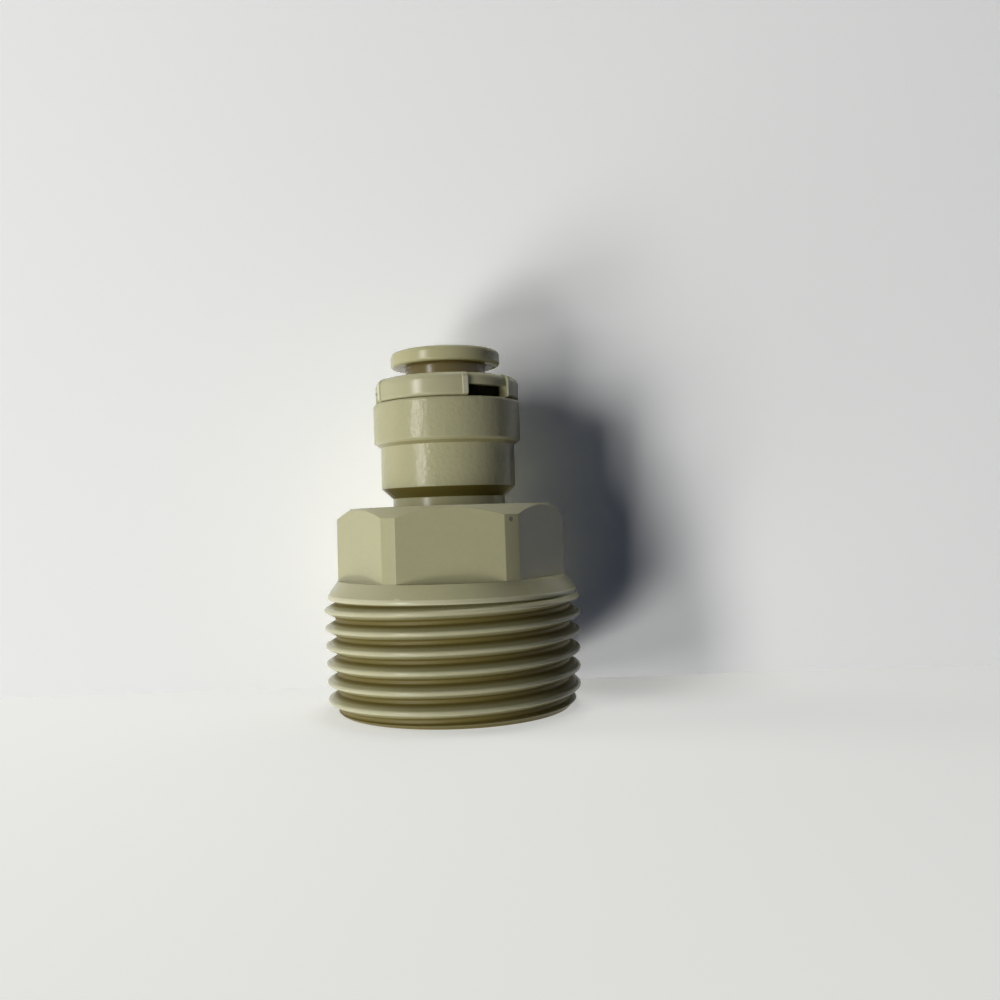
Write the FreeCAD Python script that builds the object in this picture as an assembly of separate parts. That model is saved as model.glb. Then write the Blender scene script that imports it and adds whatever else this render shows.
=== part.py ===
import FreeCAD, Part
import math
import os

# Push-in tube connector with a pipe thread, millimetres.
# Origin: centre of the thread's end face. +Z runs along the axis to the tube socket.
# The front is -Y: one flat of the hexagon faces it.

# Male pipe thread, its diameter over the crests at the flange; it narrows to the end face
thread_diameter = 26.8
thread_taper_angle = 1.79
threads_per_inch = 14
thread_angle = 55.0
thread_length = 11.5
first_crest_drop = 0.745
lead_in_angle = 45.0
run_out_angle = 50.0
run_out_inset = 0.05
thread_wall = 2.69
core_proud = 0.04
root_strip_rise = 0.012
crest_room = 0.01
crest_strips = 4
root_strips = 2
spare_turns = 1
seam_angle = 33.0

# Flange between the thread and the hexagon, its rim a little inside the thread's crests
flange_inset = 0.42
flange_rim_height = 0.28
flange_cone_height = 1.52
shoulder_ledge = 0.04
flange_round = 0.3

# Spanner hexagon, its corners turned off
hex_across_flats = 21.3
hex_corner_proud = 1.21
hex_sides = 6
hex_height = 7.4
hex_top_inset = 0.25
hex_top_angle = 36.0
hex_wall = 2.75
hex_roof = 2.8

# Neck, barrel and collar
neck_inset = 1.16
neck_height = 0.9
barrel_chamfer_height = 1.05
barrel_height = 4.3
collar_step = 0.69
collar_chamfer_height = 0.5
collar_height = 4.1
collar_top_round = 0.3
corner_round = 0.2

# Tube and its way through the body
tube_radius = 3.175
tube_clearance = 0.075
flow_radius = 2.3
stop_thickness = 1.6
tube_seat_length = 3.5
seat_lead_in = 0.3

# Seal seat and socket inside the barrel
seal_seat_wall = 2.02
finger_room_wall = 1.54
cap_seat_wall = 1.44
cap_seat_depth = 3.9
seal_section_diameter = 1.8
seal_bore_clearance = 0.045
seal_clearance = 0.03
seal_washer_thickness = 0.9
washer_bore_clearance = 0.12

# Retaining cap
cap_seat_gap = 0.05
cap_height = 2.4
cap_inset = 0.04
cap_top_round = 0.8
cap_bottom_round = 0.35
cap_count = 3
cap_block_angle = 82.0
cap_block_start = -155.0
cap_strip_inset = 0.2
cap_window_height = 1.12
cap_rib_angle = 4.2
cap_rib_height = 0.09
sleeve_clearance = 0.02
sleeve_end_gap = 0.1
sleeve_land = 0.4

# Collet and its steel teeth
collet_travel = 1.3
collet_stop_clearance = 0.15
finger_end_clearance = 0.3
collet_bore_clearance = 0.175
stem_wall = 0.9
stem_clearance = 0.08
collet_flange_reach = 1.56
collet_flange_thickness = 1.55
collet_flange_top_round = 0.5
collet_flange_low_round = 0.3
collet_lead_in = 0.6
finger_head_reach = 0.95
finger_head_taper_length = 3.0
finger_count = 4
finger_slot_width = 0.9
finger_slot_length = 4.6
tooth_width = 1.8
tooth_length = 1.5
tooth_thickness = 0.35
tooth_slope = 22.0
tooth_height = 0.75
tooth_tip_clearance = 0.04

# The front, and how far cutters run past the faces they cut
front_angle = -90.0
cut_past = 1.0

# Thread form: rounded crests and roots, worked out from the pitch
pitch = 25.4 / threads_per_inch
sharp_height = pitch / (2 * math.tan(math.radians(thread_angle / 2)))
thread_depth = sharp_height * 2 / 3
flank_turn = math.radians(90 - thread_angle / 2)
thread_round = sharp_height / 6 / (1 / math.cos(flank_turn) - 1)
taper = math.tan(math.radians(thread_taper_angle))
crest_radius = thread_diameter / 2
flange_radius = crest_radius - flange_inset
end_crest_radius = crest_radius - thread_length * taper
end_root_radius = end_crest_radius - thread_depth

# Heights, from the thread's end face up
flange_low = thread_length
shoulder = flange_low + flange_rim_height + flange_cone_height
hex_top = shoulder + hex_height
neck_top = hex_top + neck_height
barrel_low = neck_top + barrel_chamfer_height
barrel_top = barrel_low + barrel_height
collar_low = barrel_top + collar_chamfer_height
collar_top = collar_low + collar_height
cup_top = hex_top - hex_roof
tube_stop = cup_top + stop_thickness
seal_floor = tube_stop + tube_seat_length
seal_top = seal_floor + seal_section_diameter + 2 * seal_clearance
washer_top = seal_top + seal_washer_thickness
finger_room_low = washer_top + seal_clearance
cap_seat_low = collar_top - cap_seat_depth
cap_low = collar_top + cap_seat_gap
cap_top = cap_low + cap_height
sleeve_low = cap_seat_low + sleeve_end_gap
taper_low = sleeve_low + sleeve_land
taper_top = taper_low + finger_head_taper_length
finger_low = washer_top + finger_end_clearance + collet_travel
collet_flange_low = cap_top + collet_stop_clearance + collet_travel
collet_top = collet_flange_low + collet_flange_thickness

# Radii that follow from the tube, the walls and the clearances
seat_radius = tube_radius + tube_clearance
seal_seat_radius = tube_radius + seal_bore_clearance + seal_section_diameter + seal_clearance
barrel_radius = seal_seat_radius + seal_seat_wall
neck_radius = barrel_radius - neck_inset
collar_radius = barrel_radius + collar_step
cap_radius = collar_radius - cap_inset
collet_bore_radius = tube_radius + collet_bore_clearance
stem_radius = collet_bore_radius + stem_wall
collet_flange_radius = stem_radius + collet_flange_reach
finger_head_radius = stem_radius + finger_head_reach
hex_apothem = hex_across_flats / 2
hex_corner_radius = hex_apothem + hex_corner_proud
shoulder_radius = hex_corner_radius + shoulder_ledge
cup_radius = end_root_radius - thread_wall
deep_cup_radius = hex_apothem - hex_wall
finger_room_radius = barrel_radius - finger_room_wall
cap_seat_radius = collar_radius - cap_seat_wall
sleeve_radius = cap_seat_radius - sleeve_clearance
cap_strip_radius = cap_radius - cap_strip_inset
cap_hole_radius = stem_radius + stem_clearance
taper_mouth_radius = finger_head_radius + stem_clearance
tooth_tip_radius = tube_radius + tooth_tip_clearance

axis = FreeCAD.Vector(0, 0, 1)
centre = FreeCAD.Vector(0, 0, 0)


def point(radius, height, angle=0.0):
    turn = math.radians(angle)
    return FreeCAD.Vector(radius * math.cos(turn), radius * math.sin(turn), height)


def rounded_face(corners):
    """A face in the XZ half plane; a corner is (radius, height) or (radius, height, round)."""
    places = [point(corner[0], corner[1]) for corner in corners]
    rounds = [corner[2] if len(corner) > 2 else 0.0 for corner in corners]
    edges = []
    starts = []
    ends = []
    middles = []
    for i, here in enumerate(places):
        back = (places[i - 1] - here).normalize()
        on = (places[(i + 1) % len(places)] - here).normalize()
        half = back.getAngle(on) / 2
        reach = rounds[i] / math.tan(half)
        starts.append(here + back * reach)
        ends.append(here + on * reach)
        inward = (back + on).normalize() if rounds[i] else back
        middles.append(here + inward * (rounds[i] / math.sin(half) - rounds[i]))
    for i in range(len(places)):
        if rounds[i]:
            edges.append(Part.Arc(starts[i], middles[i], ends[i]).toShape())
        following = starts[(i + 1) % len(places)]
        if ends[i].distanceToPoint(following) > 1e-6:
            edges.append(Part.LineSegment(ends[i], following).toShape())
    return Part.Face(Part.Wire(edges))


def turned(corners, sweep=360.0, start=0.0):
    solid = rounded_face(corners).revolve(centre, axis, sweep)
    solid.rotate(centre, axis, start)
    return solid


def one_solid(shape):
    cleaned = shape.removeSplitter()
    return cleaned.Solids[0] if len(cleaned.Solids) == 1 else cleaned


def thread_outline(crest):
    """The ridge's section below that crest, its rounds as strips, running into the core."""
    root = crest - thread_depth
    crest_middle = crest - thread_round
    root_middle = root + thread_round
    root_end = math.acos(1 - root_strip_rise / thread_round)
    outline = []
    for i in range(crest_strips + 1):
        turn = flank_turn * (2 * i / crest_strips - 1)
        outline.append((crest_middle + thread_round * math.cos(turn), thread_round * math.sin(turn)))
    for i in range(root_strips + 1):
        turn = flank_turn + (root_end - flank_turn) * i / root_strips
        height = pitch / 2 - thread_round * math.sin(turn)
        outline.append((root_middle - thread_round * math.cos(turn), height))
    outline.append((root - thread_round, pitch / 4))
    lower = [(radius, -height) for radius, height in outline[crest_strips + 1:]]
    return [(radius + height * taper, height) for radius, height in outline + lower[::-1]]


def thread_ridge():
    """One rounded ridge that climbs to the right, from below the end face into the flange."""
    front_crest = thread_length - first_crest_drop
    turns_below = math.ceil(front_crest / pitch) + spare_turns
    turns = turns_below + 2 * spare_turns
    start_height = front_crest - turns_below * pitch + pitch * seam_angle / 360
    start_crest = end_crest_radius + start_height * taper
    outline = thread_outline(start_crest)
    section = Part.makePolygon([point(*place) for place in outline + outline[:1]])
    helix = Part.makeLongHelix(pitch, turns * pitch, start_crest, thread_taper_angle)
    ridge = Part.Wire(helix.Edges).makePipeShell([section], True, True)
    ridge.translate(point(0, start_height))
    ridge.rotate(centre, axis, front_angle + seam_angle)
    return ridge


def threaded_end():
    core_low = end_root_radius + core_proud - cut_past * taper
    core_length = thread_length + 2 * cut_past
    core = Part.makeCone(core_low, core_low + core_length * taper, core_length, point(0, -cut_past))
    rod = core.fuse(thread_ridge()).Solids[0]
    thread_limit = flange_low + flange_rim_height / 2
    end_outer = end_crest_radius + crest_room
    lead_in = (end_outer - end_root_radius) * math.tan(math.radians(lead_in_angle))
    run_out_radius = flange_radius - run_out_inset
    run_out = (crest_radius + crest_room - run_out_radius) * math.tan(math.radians(run_out_angle))
    limit = turned([
        (0, 0),
        (end_root_radius, 0),
        (end_outer + lead_in * taper, lead_in),
        (crest_radius + crest_room - run_out * taper, flange_low - run_out),
        (run_out_radius, flange_low),
        (run_out_radius, thread_limit),
        (0, thread_limit),
    ])
    return rod.common(limit)


def flange():
    return turned([
        (0, flange_low),
        (flange_radius, flange_low),
        (flange_radius, flange_low + flange_rim_height, flange_round),
        (shoulder_radius, shoulder),
        (0, shoulder),
    ])


def hexagon():
    corner = hex_apothem / math.cos(math.pi / hex_sides)
    low = flange_low + flange_rim_height
    plan = [point(corner, low, 360.0 * i / hex_sides) for i in range(hex_sides + 1)]
    prism = Part.Face(Part.makePolygon(plan)).extrude(axis * (hex_top - low))
    top_radius = hex_apothem - hex_top_inset
    drop = (hex_corner_radius - top_radius) * math.tan(math.radians(hex_top_angle))
    limit = turned([
        (0, low),
        (hex_corner_radius, low),
        (hex_corner_radius, hex_top - drop),
        (top_radius, hex_top),
        (0, hex_top),
    ])
    return prism.common(limit)


def socket_outside():
    low = hex_top - cut_past
    return turned([
        (0, low),
        (neck_radius, low),
        (neck_radius, neck_top),
        (barrel_radius, barrel_low, corner_round),
        (barrel_radius, barrel_top),
        (collar_radius, collar_low, corner_round),
        (collar_radius, collar_top, collar_top_round),
        (0, collar_top),
    ])


def body_inside():
    """The open cup in the thread, the flow bore, the tube's seat and the socket's steps."""
    mouth = corner_round
    return turned([
        (0, -cut_past),
        (cup_radius + mouth, -cut_past),
        (cup_radius + mouth, 0),
        (cup_radius, mouth),
        (cup_radius, thread_length),
        (deep_cup_radius, thread_length + cup_radius - deep_cup_radius),
        (deep_cup_radius, cup_top, corner_round),
        (flow_radius, cup_top),
        (flow_radius, tube_stop),
        (seat_radius, tube_stop),
        (seat_radius, seal_floor - seat_lead_in),
        (seat_radius + seat_lead_in, seal_floor),
        (seal_seat_radius, seal_floor),
        (seal_seat_radius, finger_room_low),
        (finger_room_radius, finger_room_low),
        (finger_room_radius, cap_seat_low),
        (cap_seat_radius, cap_seat_low),
        (cap_seat_radius, collar_top + cut_past),
        (0, collar_top + cut_past),
    ])


def fitting_body():
    outside = threaded_end().fuse([flange(), hexagon(), socket_outside()])
    return one_solid(outside.cut(body_inside()))


def cap_ring(proud, low, sweep, start):
    """A stretch of the cap's outer ring, from the height low up to the cap's top."""
    outer = cap_radius + proud
    low_round = cap_bottom_round if low == cap_low else 0.0
    return turned([
        (cap_hole_radius, low),
        (outer, low, low_round),
        (outer, cap_top, cap_top_round),
        (cap_hole_radius, cap_top),
    ], sweep, start)


def cap_sleeve():
    """The sleeve in the collar, its bore narrowing upwards so that it closes the fingers."""
    under = cap_low + cap_window_height
    return turned([
        (cap_hole_radius, taper_top),
        (taper_mouth_radius, taper_low),
        (taper_mouth_radius, sleeve_low),
        (sleeve_radius, sleeve_low, corner_round),
        (sleeve_radius, under),
        (cap_hole_radius, under),
    ])


def retaining_cap():
    strip = cap_ring(-cap_strip_inset, cap_low + cap_window_height, 360.0, 0.0)
    parts = [strip]
    for i in range(cap_count):
        start = cap_block_start + 360.0 * i / cap_count
        end = start + cap_block_angle
        parts.append(cap_ring(0.0, cap_low, cap_block_angle, start))
        parts.append(cap_ring(cap_rib_height, cap_low, cap_rib_angle, start))
        parts.append(cap_ring(cap_rib_height, cap_low, cap_rib_angle, end - cap_rib_angle))
    taper = turned([
        (0, sleeve_low - cut_past),
        (taper_mouth_radius, sleeve_low - cut_past),
        (taper_mouth_radius, taper_low),
        (cap_hole_radius, taper_top),
        (cap_hole_radius, cap_top + cut_past),
        (0, cap_top + cut_past),
    ])
    return one_solid(cap_sleeve().fuse(parts).cut(taper))


def collet_tooth(index):
    """A flat steel plate in a finger's head, its edge pointing in and down at the tube."""
    low = finger_low + tooth_height
    run = math.cos(math.radians(tooth_slope)) * tooth_length
    rise = math.sin(math.radians(tooth_slope)) * tooth_length
    section = Part.Face(Part.makePolygon([
        point(tooth_tip_radius, low),
        point(tooth_tip_radius + run, low + rise),
        point(tooth_tip_radius + run, low + rise + tooth_thickness),
        point(tooth_tip_radius + tooth_thickness, low + tooth_thickness),
        point(tooth_tip_radius, low),
    ]))
    section.translate(FreeCAD.Vector(0, -tooth_width / 2, 0))
    plate = section.extrude(FreeCAD.Vector(0, tooth_width, 0))
    plate.rotate(centre, axis, 360.0 * (index + 0.5) / finger_count)
    return plate


def finger_slot(index):
    reach = finger_head_radius + cut_past
    height = finger_slot_length - finger_slot_width / 2
    corner = FreeCAD.Vector(0, -finger_slot_width / 2, finger_low - cut_past)
    slot = Part.makeBox(reach, finger_slot_width, height + cut_past, corner)
    end = Part.makeCylinder(finger_slot_width / 2, reach, point(0, finger_low + height), point(1, 0))
    slot = slot.fuse(end)
    slot.rotate(centre, axis, 360.0 * index / finger_count)
    return slot


def collet():
    bore = collet_bore_radius
    shape = turned([
        (bore + collet_lead_in, collet_top),
        (collet_flange_radius, collet_top, collet_flange_top_round),
        (collet_flange_radius, collet_flange_low, collet_flange_low_round),
        (stem_radius, collet_flange_low, corner_round),
        (stem_radius, taper_top),
        (finger_head_radius, taper_low),
        (finger_head_radius, finger_low, corner_round),
        (bore, finger_low),
        (bore, collet_top - collet_lead_in),
    ])
    slots = [finger_slot(i) for i in range(finger_count)]
    pockets = [collet_tooth(i) for i in range(finger_count)]
    return one_solid(shape.cut(slots + pockets))


def seal_ring():
    """The seal as it lies pressed on a tube, so its bore just clears the tube."""
    section = seal_section_diameter / 2
    middle = seal_seat_radius - seal_clearance - section
    return Part.makeTorus(middle, section, point(0, seal_floor + seal_clearance + section))


def seal_washer():
    bore = tube_radius + washer_bore_clearance
    outer = seal_seat_radius - seal_clearance
    return turned([(bore, seal_top), (outer, seal_top), (outer, washer_top), (bore, washer_top)])


def write(name, shape):
    shape.exportStep("parts/" + name + ".step")
    print(name, "solids", len(shape.Solids), "valid", shape.isValid(), "volume", round(shape.Volume, 2))


os.makedirs("parts", exist_ok=True)
write("fitting_body", fitting_body())
write("retaining_cap", retaining_cap())
write("seal_ring", seal_ring())
write("seal_washer", seal_washer())
write("collet", collet())
for tooth in range(finger_count):
    write("collet_tooth_" + str(tooth + 1), collet_tooth(tooth))
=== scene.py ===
import bpy
import math
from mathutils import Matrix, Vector

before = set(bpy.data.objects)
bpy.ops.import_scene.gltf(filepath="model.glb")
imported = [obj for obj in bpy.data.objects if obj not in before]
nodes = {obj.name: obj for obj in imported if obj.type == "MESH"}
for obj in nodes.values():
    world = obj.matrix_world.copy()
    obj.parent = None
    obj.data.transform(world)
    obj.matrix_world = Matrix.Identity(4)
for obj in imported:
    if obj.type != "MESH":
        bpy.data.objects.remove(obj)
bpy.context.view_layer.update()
mm = 0.001
print("frame loaded:", len(nodes), "nodes")


# a socket that can be added, multiplied and so on; each sign adds a Math node
class Wire:
    def __init__(self, tree, socket):
        self.tree = tree
        self.socket = socket

    def maths(self, operation, first, second):
        node = self.tree.nodes.new("ShaderNodeMath")
        node.operation = operation
        for place, value in enumerate((first, second)):
            if isinstance(value, Wire):
                self.tree.links.new(value.socket, node.inputs[place])
            else:
                node.inputs[place].default_value = value
        return Wire(self.tree, node.outputs[0])

    def __add__(self, other):
        return self.maths("ADD", self, other)

    def __radd__(self, other):
        return self.maths("ADD", other, self)

    def __sub__(self, other):
        return self.maths("SUBTRACT", self, other)

    def __rsub__(self, other):
        return self.maths("SUBTRACT", other, self)

    def __mul__(self, other):
        return self.maths("MULTIPLY", self, other)

    def __rmul__(self, other):
        return self.maths("MULTIPLY", other, self)

    def __truediv__(self, other):
        return self.maths("DIVIDE", self, other)

    def __pow__(self, other):
        return self.maths("POWER", self, other)


# one node tree being filled; node() adds any node, sets it and fills its sockets
class Sheet:
    def __init__(self, owner):
        owner.use_nodes = True
        self.tree = owner.node_tree
        self.tree.nodes.clear()

    def node(self, kind, settings=None, sockets=None, output=0):
        made = self.tree.nodes.new(kind)
        for name, value in (settings or {}).items():
            setattr(made, name, value)
        for name, value in (sockets or {}).items():
            socket = made.inputs[name]
            if isinstance(value, Wire):
                self.tree.links.new(value.socket, socket)
            elif isinstance(value, tuple) and socket.type == "RGBA":
                socket.default_value = (*value, 1.0)
            else:
                socket.default_value = value
        return Wire(self.tree, made.outputs[output]) if len(made.outputs) else made

    # the second colour laid over the first where the mask is 1
    def mixed(self, mask, first, second):
        settings = {"data_type": "RGBA", "clamp_factor": True}
        return self.node("ShaderNodeMix", settings, {0: mask, 6: first, 7: second}, 2)

    # a colour made lighter or darker by a value
    def shaded(self, colour, value):
        return self.node("ShaderNodeVectorMath", {"operation": "SCALE"}, {0: colour, "Scale": value})

    # 0 up to low, 1 from high on, smooth between; low may be the larger
    def ramp(self, value, low, high):
        sockets = {"Value": value, "From Min": low, "From Max": high}
        return self.node("ShaderNodeMapRange", {"interpolation_type": "SMOOTHSTEP"}, sockets)

    # 1 between low and high, fading over the soft length at each end
    def band(self, value, low, high, soft):
        return self.ramp(value, low - soft, low) * self.ramp(value, high + soft, high)

    # the scale is per metre: at 1000 the spots are about a millimetre
    def noise(self, where, scale, detail, roughness):
        sockets = {"Vector": where, "Scale": scale, "Detail": detail, "Roughness": roughness}
        return self.node("ShaderNodeTexNoise", {"noise_dimensions": "3D"}, sockets)

    # the piece's own coordinates
    def ownPlace(self):
        return self.node("ShaderNodeTexCoord", output=3)

    # the same, with the height and the distance from the axis
    def places(self):
        where = self.ownPlace()
        split = self.node("ShaderNodeSeparateXYZ", sockets={"Vector": where})
        x, y, z = (Wire(self.tree, split.socket.node.outputs[i]) for i in range(3))
        return where, z, (x * x + y * y) ** 0.5

    # how far the surface is from a point
    def away(self, where, point):
        return self.node("ShaderNodeVectorMath", {"operation": "DISTANCE"}, {0: where, 1: point}, 1)

    # 1 round a point, 0 from the reach on
    def spot(self, where, point, reach):
        full = reach * 0.4          # the fade begins here
        return self.ramp(self.away(where, point), reach, full)

    # a slow mottle and a fine grain in the colour, and the mottle in the roughness too
    def varied(self, look, colour, rough, mottle, grain):
        darkest, byMottle, byGrain = look["shade"]
        colour = self.shaded(colour, darkest + mottle * byMottle + grain * byGrain)
        return colour, rough + (mottle - 0.5) * look["roughMottle"]

    # soft edges first, then the relief on them
    def relief(self, look, height):
        edges = self.node("ShaderNodeBevel", {"samples": look["edgeSamples"]}, {"Radius": look["edgeRound"]})
        sockets = {"Strength": 1.0, "Distance": look["relief"], "Height": height, "Normal": edges}
        return self.node("ShaderNodeBump", sockets=sockets)

    # a moulded surface, with an optional mask and a dark colour painted there as shade
    def plastic(self, look, colour, rough, height, paintedShade=None):
        bump = self.relief(look, height)
        sockets = {"Base Color": colour, "Roughness": rough, "Normal": bump, "IOR": look["ior"]}
        shader = self.node("ShaderNodeBsdfPrincipled", sockets=sockets)
        if paintedShade:
            mask, dark = paintedShade
            unlit = self.node("ShaderNodeBsdfDiffuse", sockets={"Color": dark})
            shader = self.node("ShaderNodeMixShader", sockets={0: mask, 1: shader, 2: unlit})
        self.node("ShaderNodeOutputMaterial", sockets={"Surface": shader})


def dress(names, material):
    for name in names:
        thing = nodes[name]
        thing.data.materials.clear()
        thing.data.materials.append(material)


# In each look a noise is its scale, detail and roughness, and a pair of lengths or
# shares says where a mask begins and where it is full.

# the body: satin grey-beige acetal, with a painted highlight on the thread's crests and painted shade, brown,
# in its grooves
bodyLook = {
    "colour": (0.475, 0.457, 0.268),
    "pale": (0.65, 0.63, 0.42),
    "shadeBrown": (0.17, 0.135, 0.030),
    "shade": (0.90, 0.09, 0.07),            # the darkest, and what mottle and grain add
    "mottle": (210.0, 3.0, 0.6),
    "grain": (2300.0, 1.0, 0.5),
    "thread": (11.45 * mm, 11.25 * mm),
    "endCrest": 13.04 * mm,                 # the crests' radius at the end face
    "taper": 0.03125,                       # what that radius gains per length
    "grooveDepth": 1.16 * mm,
    "grooveShade": (0.2, 0.85),             # shares of that depth
    "crestHighlight": (0.24, 0.02),
    "crestHighlightStrength": 0.6,
    "recesses": [                           # undercuts given painted shade: heights, how far in, how strong
        (21.65 * mm, 22.62 * mm, 7.1 * mm, 1.0),
        (26.97 * mm, 27.22 * mm, 7.6 * mm, 0.5),
    ],
    "recessSoft": 0.06 * mm,
    "recessFade": 0.10 * mm,
    "rim": (11.5 * mm, 11.9 * mm, 0.1 * mm),    # the flange's lower rim: heights, soft length
    "rimRadius": (12.48 * mm, 12.78 * mm),
    "scuffs": (420.0, 2.0, 0.5),
    "scuffLevels": (0.52, 0.72),
    "scuffStrength": 0.6,
    "nick": (-5.2 * mm, -11.9 * mm, 11.72 * mm),
    "nickReach": 0.60 * mm,
    "pit": (5.93 * mm, -10.27 * mm, 19.2 * mm),
    "pitReach": 0.32 * mm,
    "pitDark": 0.6,
    "pitRelief": 6.0,
    "peel": (2000.0, 2.0, 0.6),             # the coarser skin of the socket
    "peelLow": (22.4 * mm, 22.7 * mm),
    "peelRelief": 8.0,
    "threadSmooth": 0.6,
    "roughness": 0.235,
    "threadRoughness": 0.22,
    "grooveRoughness": 0.50,
    "roughMottle": 0.08,
    "relief": 0.007 * mm,
    "edgeRound": 0.13 * mm,
    "edgeSamples": 8,
    "ior": 1.44,
}


def bodyPlastic(look):
    material = bpy.data.materials.new("bodyPlastic")
    sheet = Sheet(material)
    where, z, radius = sheet.places()
    mottle = sheet.noise(where, *look["mottle"])
    grain = sheet.noise(where, *look["grain"])
    peel = sheet.noise(where, *look["peel"]) * sheet.ramp(z, *look["peelLow"])
    # how deep in the thread a point lies: 0 on a crest, 1 at the root
    onThread = sheet.ramp(z, *look["thread"])
    depth = (look["endCrest"] + z * look["taper"] - radius) / look["grooveDepth"]
    # painted shade: the thread's grooves darkened to brown, more so deeper in
    groove = sheet.ramp(depth, *look["grooveShade"]) * onThread
    crestHighlightMask = sheet.ramp(depth, *look["crestHighlight"]) * onThread
    colour = sheet.mixed(groove, look["colour"], look["shadeBrown"])
    # painted highlight, pale, on the crests and all along the flange's lower rim, with pale scuffs on the rim
    # and a nick as wear
    onRim = sheet.band(z, *look["rim"]) * sheet.ramp(radius, *look["rimRadius"])
    scuff = sheet.ramp(sheet.noise(where, *look["scuffs"]), *look["scuffLevels"])
    nick = sheet.spot(where, look["nick"], look["nickReach"])
    highlightAndWear = scuff * onRim * look["scuffStrength"] + onRim + nick + crestHighlightMask * look["crestHighlightStrength"]
    colour = sheet.mixed(highlightAndWear, colour, look["pale"])
    # painted shade: the undercuts darkened towards brown
    for low, high, reach, strength in look["recesses"]:
        recess = sheet.band(z, low, high, look["recessSoft"])
        recess = recess * sheet.ramp(radius, reach, reach - look["recessFade"])
        colour = sheet.mixed(recess * strength, colour, look["shadeBrown"])
    # a small dark pit high on the hexagon's corner
    pit = sheet.spot(where, look["pit"], look["pitReach"])
    colour = sheet.shaded(colour, 1 - pit * look["pitDark"])
    rough = look["roughness"] - onThread * (look["roughness"] - look["threadRoughness"])
    rough = rough + groove * (look["grooveRoughness"] - look["threadRoughness"])
    colour, rough = sheet.varied(look, colour, rough, mottle, grain)
    height = grain * (1 - onThread * look["threadSmooth"])
    height = height + peel * look["peelRelief"] - pit * look["pitRelief"]
    sheet.plastic(look, colour, rough, height)
    return material


dress(["fitting_body"], bodyPlastic(bodyLook))
print("body dressed")


# the cap and the seal's washer: the same acetal, smoother and a little paler
capLook = {
    "colour": (0.50, 0.483, 0.295),
    "pale": (0.66, 0.645, 0.46),
    "ribHighlight": (7.74 * mm, 7.78 * mm),          # the radius where the painted highlight on the rib begins
    "shade": (0.92, 0.08, 0.05),
    "mottle": (330.0, 3.0, 0.6),
    "grain": (7200.0, 2.0, 0.6),
    "shadow": (0.05, 0.048, 0.035),
    "inside": (6.9 * mm, 6.5 * mm),         # painted shade on the sleeve seen through the windows: radii, then heights
    "insideTop": (33.2 * mm, 32.7 * mm),
    "roughness": 0.20,
    "roughMottle": 0.08,
    "relief": 0.003 * mm,
    "edgeRound": 0.10 * mm,
    "edgeSamples": 8,
    "ior": 1.44,
}


def capPlastic(look):
    material = bpy.data.materials.new("capPlastic")
    sheet = Sheet(material)
    where, z, radius = sheet.places()
    mottle = sheet.noise(where, *look["mottle"])
    grain = sheet.noise(where, *look["grain"])
    inside = sheet.ramp(radius, *look["inside"]) * sheet.ramp(z, *look["insideTop"])
    # painted highlight: the rib that stands proud of the cap is made pale
    colour = sheet.mixed(sheet.ramp(radius, *look["ribHighlight"]), look["colour"], look["pale"])
    colour, rough = sheet.varied(look, colour, look["roughness"], mottle, grain)
    sheet.plastic(look, colour, rough, grain, (inside, look["shadow"]))
    return material


dress(["retaining_cap", "seal_washer"], capPlastic(capLook))
print("cap dressed")


# the collet: the same acetal, with painted shade, dark brown, on the stem and under the flange
colletLook = {
    "colour": (0.485, 0.46, 0.255),
    "flangeShade": (0.25, 0.19, 0.06),
    "under": (35.51 * mm, 35.45 * mm),      # the flange's underside: heights, then radii
    "underRadius": (5.75 * mm, 4.85 * mm),
    "stem": (34.2 * mm, 35.45 * mm),        # the stem: heights, then radii
    "stemRadius": (4.65 * mm, 4.35 * mm),
    "shade": (0.92, 0.08, 0.05),
    "mottle": (380.0, 3.0, 0.6),
    "grain": (6800.0, 2.0, 0.6),
    "rings": 5200.0,                        # per metre: fine circles left by the mould
    "ringTop": (36.9 * mm, 36.97 * mm),
    "ringRelief": 0.15,
    "roughness": 0.22,
    "roughMottle": 0.08,
    "relief": 0.0035 * mm,
    "edgeRound": 0.12 * mm,
    "edgeSamples": 8,
    "ior": 1.44,
}


def colletPlastic(look):
    material = bpy.data.materials.new("colletPlastic")
    sheet = Sheet(material)
    where, z, radius = sheet.places()
    mottle = sheet.noise(where, *look["mottle"])
    grain = sheet.noise(where, *look["grain"])
    turns = radius * (look["rings"] * 2 * math.pi)
    rings = sheet.node("ShaderNodeMath", {"operation": "SINE"}, {0: turns})
    under = sheet.ramp(z, *look["under"]) * sheet.ramp(radius, *look["underRadius"])
    onStem = sheet.ramp(z, *look["stem"]) * sheet.ramp(radius, *look["stemRadius"])
    # painted shade under the flange and down the stem
    colour = sheet.mixed(under + onStem, look["colour"], look["flangeShade"])
    colour, rough = sheet.varied(look, colour, look["roughness"], mottle, grain)
    height = grain + rings * sheet.ramp(z, *look["ringTop"]) * look["ringRelief"]
    sheet.plastic(look, colour, rough, height)
    return material


dress(["collet"], colletPlastic(colletLook))
print("collet dressed")


# the seal: black nitrile rubber, greased where it meets the tube
sealLook = {
    "colour": (0.022, 0.022, 0.023),
    "bloom": (0.06, 0.06, 0.058),
    "mottle": (700.0, 4.0, 0.6),
    "bloomLevels": (0.5, 0.75),
    "grain": (9000.0, 3.0, 0.6),
    "grease": (3.7 * mm, 3.4 * mm),         # radii
    "roughness": 0.48,
    "greaseSmooth": 0.25,
    "bloomRough": 0.12,
    "relief": 0.002 * mm,
    "edgeRound": 0.05 * mm,
    "edgeSamples": 8,
    "ior": 1.52,
}


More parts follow.
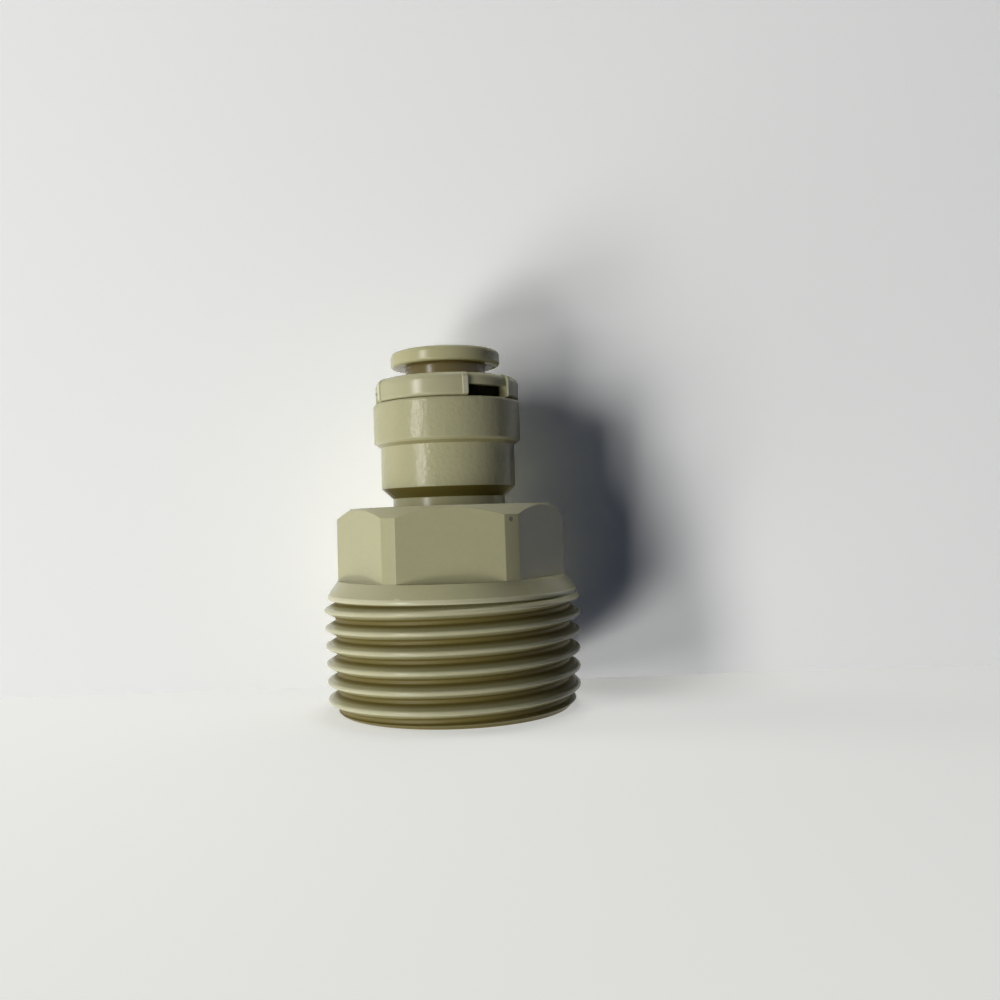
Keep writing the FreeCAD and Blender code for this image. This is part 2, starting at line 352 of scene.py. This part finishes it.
def sealRubber(look):
    material = bpy.data.materials.new("sealRubber")
    sheet = Sheet(material)
    where, _, radius = sheet.places()
    grain = sheet.noise(where, *look["grain"])
    bloom = sheet.ramp(sheet.noise(where, *look["mottle"]), *look["bloomLevels"])
    greased = sheet.ramp(radius, *look["grease"])
    colour = sheet.mixed(bloom * (1 - greased), look["colour"], look["bloom"])
    rough = look["roughness"] - greased * look["greaseSmooth"] + bloom * look["bloomRough"]
    sheet.plastic(look, colour, rough, grain)
    return material


dress(["seal_ring"], sealRubber(sealLook))


# the teeth: stamped stainless steel, with the lines of its rolling and duller patches
toothLook = {
    "colour": (0.60, 0.59, 0.57),
    "dull": (0.40, 0.39, 0.37),
    "stretch": (900.0, 900.0, 9000.0),      # per metre along each axis
    "rolled": (1.0, 3.0, 0.6),
    "patches": (1500.0, 3.0, 0.5),
    "patchLevels": (0.45, 0.7),
    "roughness": 0.26,
    "rolledRough": 0.12,
    "dullRough": 0.1,
    "relief": 0.0012 * mm,
    "edgeRound": 0.03 * mm,
    "edgeSamples": 4,
}


def toothSteel(look):
    material = bpy.data.materials.new("toothSteel")
    sheet = Sheet(material)
    where = sheet.ownPlace()
    sockets = {"Vector": where, "Scale": look["stretch"]}
    alongStrip = sheet.node("ShaderNodeMapping", {"vector_type": "POINT"}, sockets)
    rolled = sheet.noise(alongStrip, *look["rolled"])
    dull = sheet.ramp(sheet.noise(where, *look["patches"]), *look["patchLevels"])
    colour = sheet.mixed(dull, look["colour"], look["dull"])
    rough = look["roughness"] + rolled * look["rolledRough"] + dull * look["dullRough"]
    bump = sheet.relief(look, rolled)
    sockets = {"Base Color": colour, "Metallic": 1.0, "Roughness": rough, "Normal": bump}
    shader = sheet.node("ShaderNodeBsdfPrincipled", sockets=sockets)
    sheet.node("ShaderNodeOutputMaterial", sockets={"Surface": shader})
    return material


dress([name for name in nodes if name.startswith("collet_tooth")], toothSteel(toothLook))
print("seal and teeth dressed")


# the stage: a pale floor, and a sheet of the same paper just behind the thread
stageLook = {
    "sheet": (1.35, 1.36, 1.34),
    "floor": (0.50, 0.505, 0.49),
    "sheetGlow": (0.0, 0.005, 0.024),
    "floorGlow": (0.55, 0.555, 0.54),
    "floorFade": (0.37, 0.375, 0.368),      # the floor's glow towards the right, lower: painted falloff of the lamps' light
    "fade": (-80 * mm, 95 * mm),
    "shadowFoot": (19 * mm, 13.6 * mm, 0),  # the centre of a painted shadow on the floor, where the shadow on the sheet meets it
    "shadowReach": 22 * mm,
    "shadowDark": 0.6,
    "reach": 2.0,
    "sheetPlace": 13.6 * mm,
}


# the lamps give part of a paper's tone and its own glow the rest, so that the floor,
# which few of them reach, is as pale as the sheet
def stagePaper(name, colour, glow, faded, isFloor):
    material = bpy.data.materials.new(name)
    sheet = Sheet(material)
    where = sheet.ownPlace()
    across = sheet.node("ShaderNodeSeparateXYZ", sockets={"Vector": where})
    # the glow changes from left to right; on the floor this paints the lamps' falloff
    tone = sheet.mixed(sheet.ramp(across, *stageLook["fade"]), glow, faded)
    if isFloor:
        # painted shadow: the floor's glow darkened round that point
        foot = sheet.ramp(sheet.away(where, stageLook["shadowFoot"]), stageLook["shadowReach"], 0)
        tone = sheet.shaded(tone, 1 - foot * stageLook["shadowDark"])
    lit = sheet.node("ShaderNodeBsdfDiffuse", sockets={"Color": colour})
    glowing = sheet.node("ShaderNodeEmission", sockets={"Color": tone, "Strength": 1.0})
    shader = sheet.node("ShaderNodeAddShader", sockets={0: lit, 1: glowing})
    if not isFloor:                         # the sheet is clear from behind
        back = sheet.node("ShaderNodeNewGeometry", output=6)
        clear = sheet.node("ShaderNodeBsdfTransparent")
        shader = sheet.node("ShaderNodeMixShader", sockets={0: back, 1: shader, 2: clear})
    sheet.node("ShaderNodeOutputMaterial", sockets={"Surface": shader})
    return material


def flatSheet(name, place, turn, material):
    bpy.ops.object.select_all(action="DESELECT")
    bpy.ops.mesh.primitive_plane_add(size=2 * stageLook["reach"], location=place, rotation=turn)
    made = bpy.context.active_object
    made.name = name
    made.data.materials.append(material)
    made.visible_shadow = False
    made.visible_diffuse = False


level, upright = (0, 0, 0), (math.radians(90), 0, 0)
flatSheet("floor", (0, 0, 0), level,
          stagePaper("floorPaper", stageLook["floor"], stageLook["floorGlow"], stageLook["floorFade"], True))
flatSheet("paper", (0, stageLook["sheetPlace"], stageLook["reach"]), upright,
          stagePaper("sheetPaper", stageLook["sheet"], stageLook["sheetGlow"], stageLook["sheetGlow"], False))
print("stage set")


# soft lamps round the object: degrees right of the front, degrees up, width and height in metres, watts
lampLook = {
    "distance": 0.90,
    "height": 0.018,
    "colour": (1.0, 0.99, 0.965),
    "lamps": [
        ("keyLight", -30, -24, 0.18, 0.20, 1.3),
        ("keyWide", -44, -31, 0.22, 0.24, 1.25),
        ("windowMiddle", -46, 5, 0.17, 0.54, 3.2),
        ("windowFoot", -58, -34, 0.50, 0.34, 0.9),
        ("windowHead", -66, 42, 0.50, 0.34, 0.2),
        ("leftLow", -106, -38, 0.30, 0.60, 3.0),
        ("leftHigh", -106, 42, 0.30, 0.60, 1.7),
        ("under", 180, -82, 0.60, 0.60, 0.6),
        ("top", 160, 80, 0.24, 0.24, 1.9),
        ("backRight", 150, 62, 0.60, 0.60, 1.2),
        ("backLeft", -170, 12, 0.60, 0.60, 0.8),
    ],
}


def softLamp(name, turn, rise, width, height, watts):
    data = bpy.data.lights.new(name, "AREA")
    data.shape = "RECTANGLE"
    data.size = width
    data.size_y = height
    data.energy = watts
    data.color = lampLook["colour"]
    lamp = bpy.data.objects.new(name, data)
    bpy.context.scene.collection.objects.link(lamp)
    turn, rise = math.radians(turn), math.radians(rise)
    direction = Vector((math.sin(turn) * math.cos(rise), -math.cos(turn) * math.cos(rise), math.sin(rise)))
    lamp.location = direction * lampLook["distance"] + Vector((0, 0, lampLook["height"]))
    lamp.rotation_mode = "QUATERNION"
    lamp.rotation_quaternion = direction.to_track_quat("Z", "Y")
    lamp.visible_camera = False


for lamp in lampLook["lamps"]:
    softLamp(*lamp)


# the room: very dim light from all round, and the pale background that the camera sees
roomLook = {
    "light": (0.93, 0.96, 1.0),
    "level": 0.006,
    "background": (0.70, 0.715, 0.70),
}


def room(look):
    world = bpy.data.worlds.new("room")
    bpy.context.scene.world = world
    sheet = Sheet(world)
    lit = sheet.node("ShaderNodeBackground", sockets={"Color": look["light"], "Strength": look["level"]})
    seen = sheet.node("ShaderNodeBackground", sockets={"Color": look["background"], "Strength": 1.0})
    rays = sheet.node("ShaderNodeLightPath").socket.node.outputs
    kinds = ("Is Camera Ray", "Is Glossy Ray", "Is Transmission Ray")
    camera, glossy, through = (Wire(sheet.tree, rays[kind]) for kind in kinds)
    shader = sheet.node("ShaderNodeMixShader", sockets={0: camera + glossy + through, 1: lit, 2: seen})
    sheet.node("ShaderNodeOutputWorld", sockets={"Surface": shader})


room(roomLook)
print("light set")


# the camera: place in metres, turn in degrees, lens and film in millimetres
cameraLook = {
    "place": (0.321 * mm, -103.199 * mm, 19.567 * mm),
    "turn": (93.898, 1.814, -0.719),
    "lens": 35.042,
    "film": 36.0,
    "shift": (0.0350, -0.05),
    "nearest": 1 * mm,
}


def lookFrom(look):
    data = bpy.data.cameras.new("camera")
    data.lens = look["lens"]
    data.sensor_width = look["film"]
    data.shift_x, data.shift_y = look["shift"]
    data.clip_start = look["nearest"]
    camera = bpy.data.objects.new("camera", data)
    bpy.context.scene.collection.objects.link(camera)
    camera.location = look["place"]
    camera.rotation_euler = [math.radians(turn) for turn in look["turn"]]
    bpy.context.scene.camera = camera


lookFrom(cameraLook)
bpy.context.scene.view_settings.view_transform = "Standard"
print("camera set")
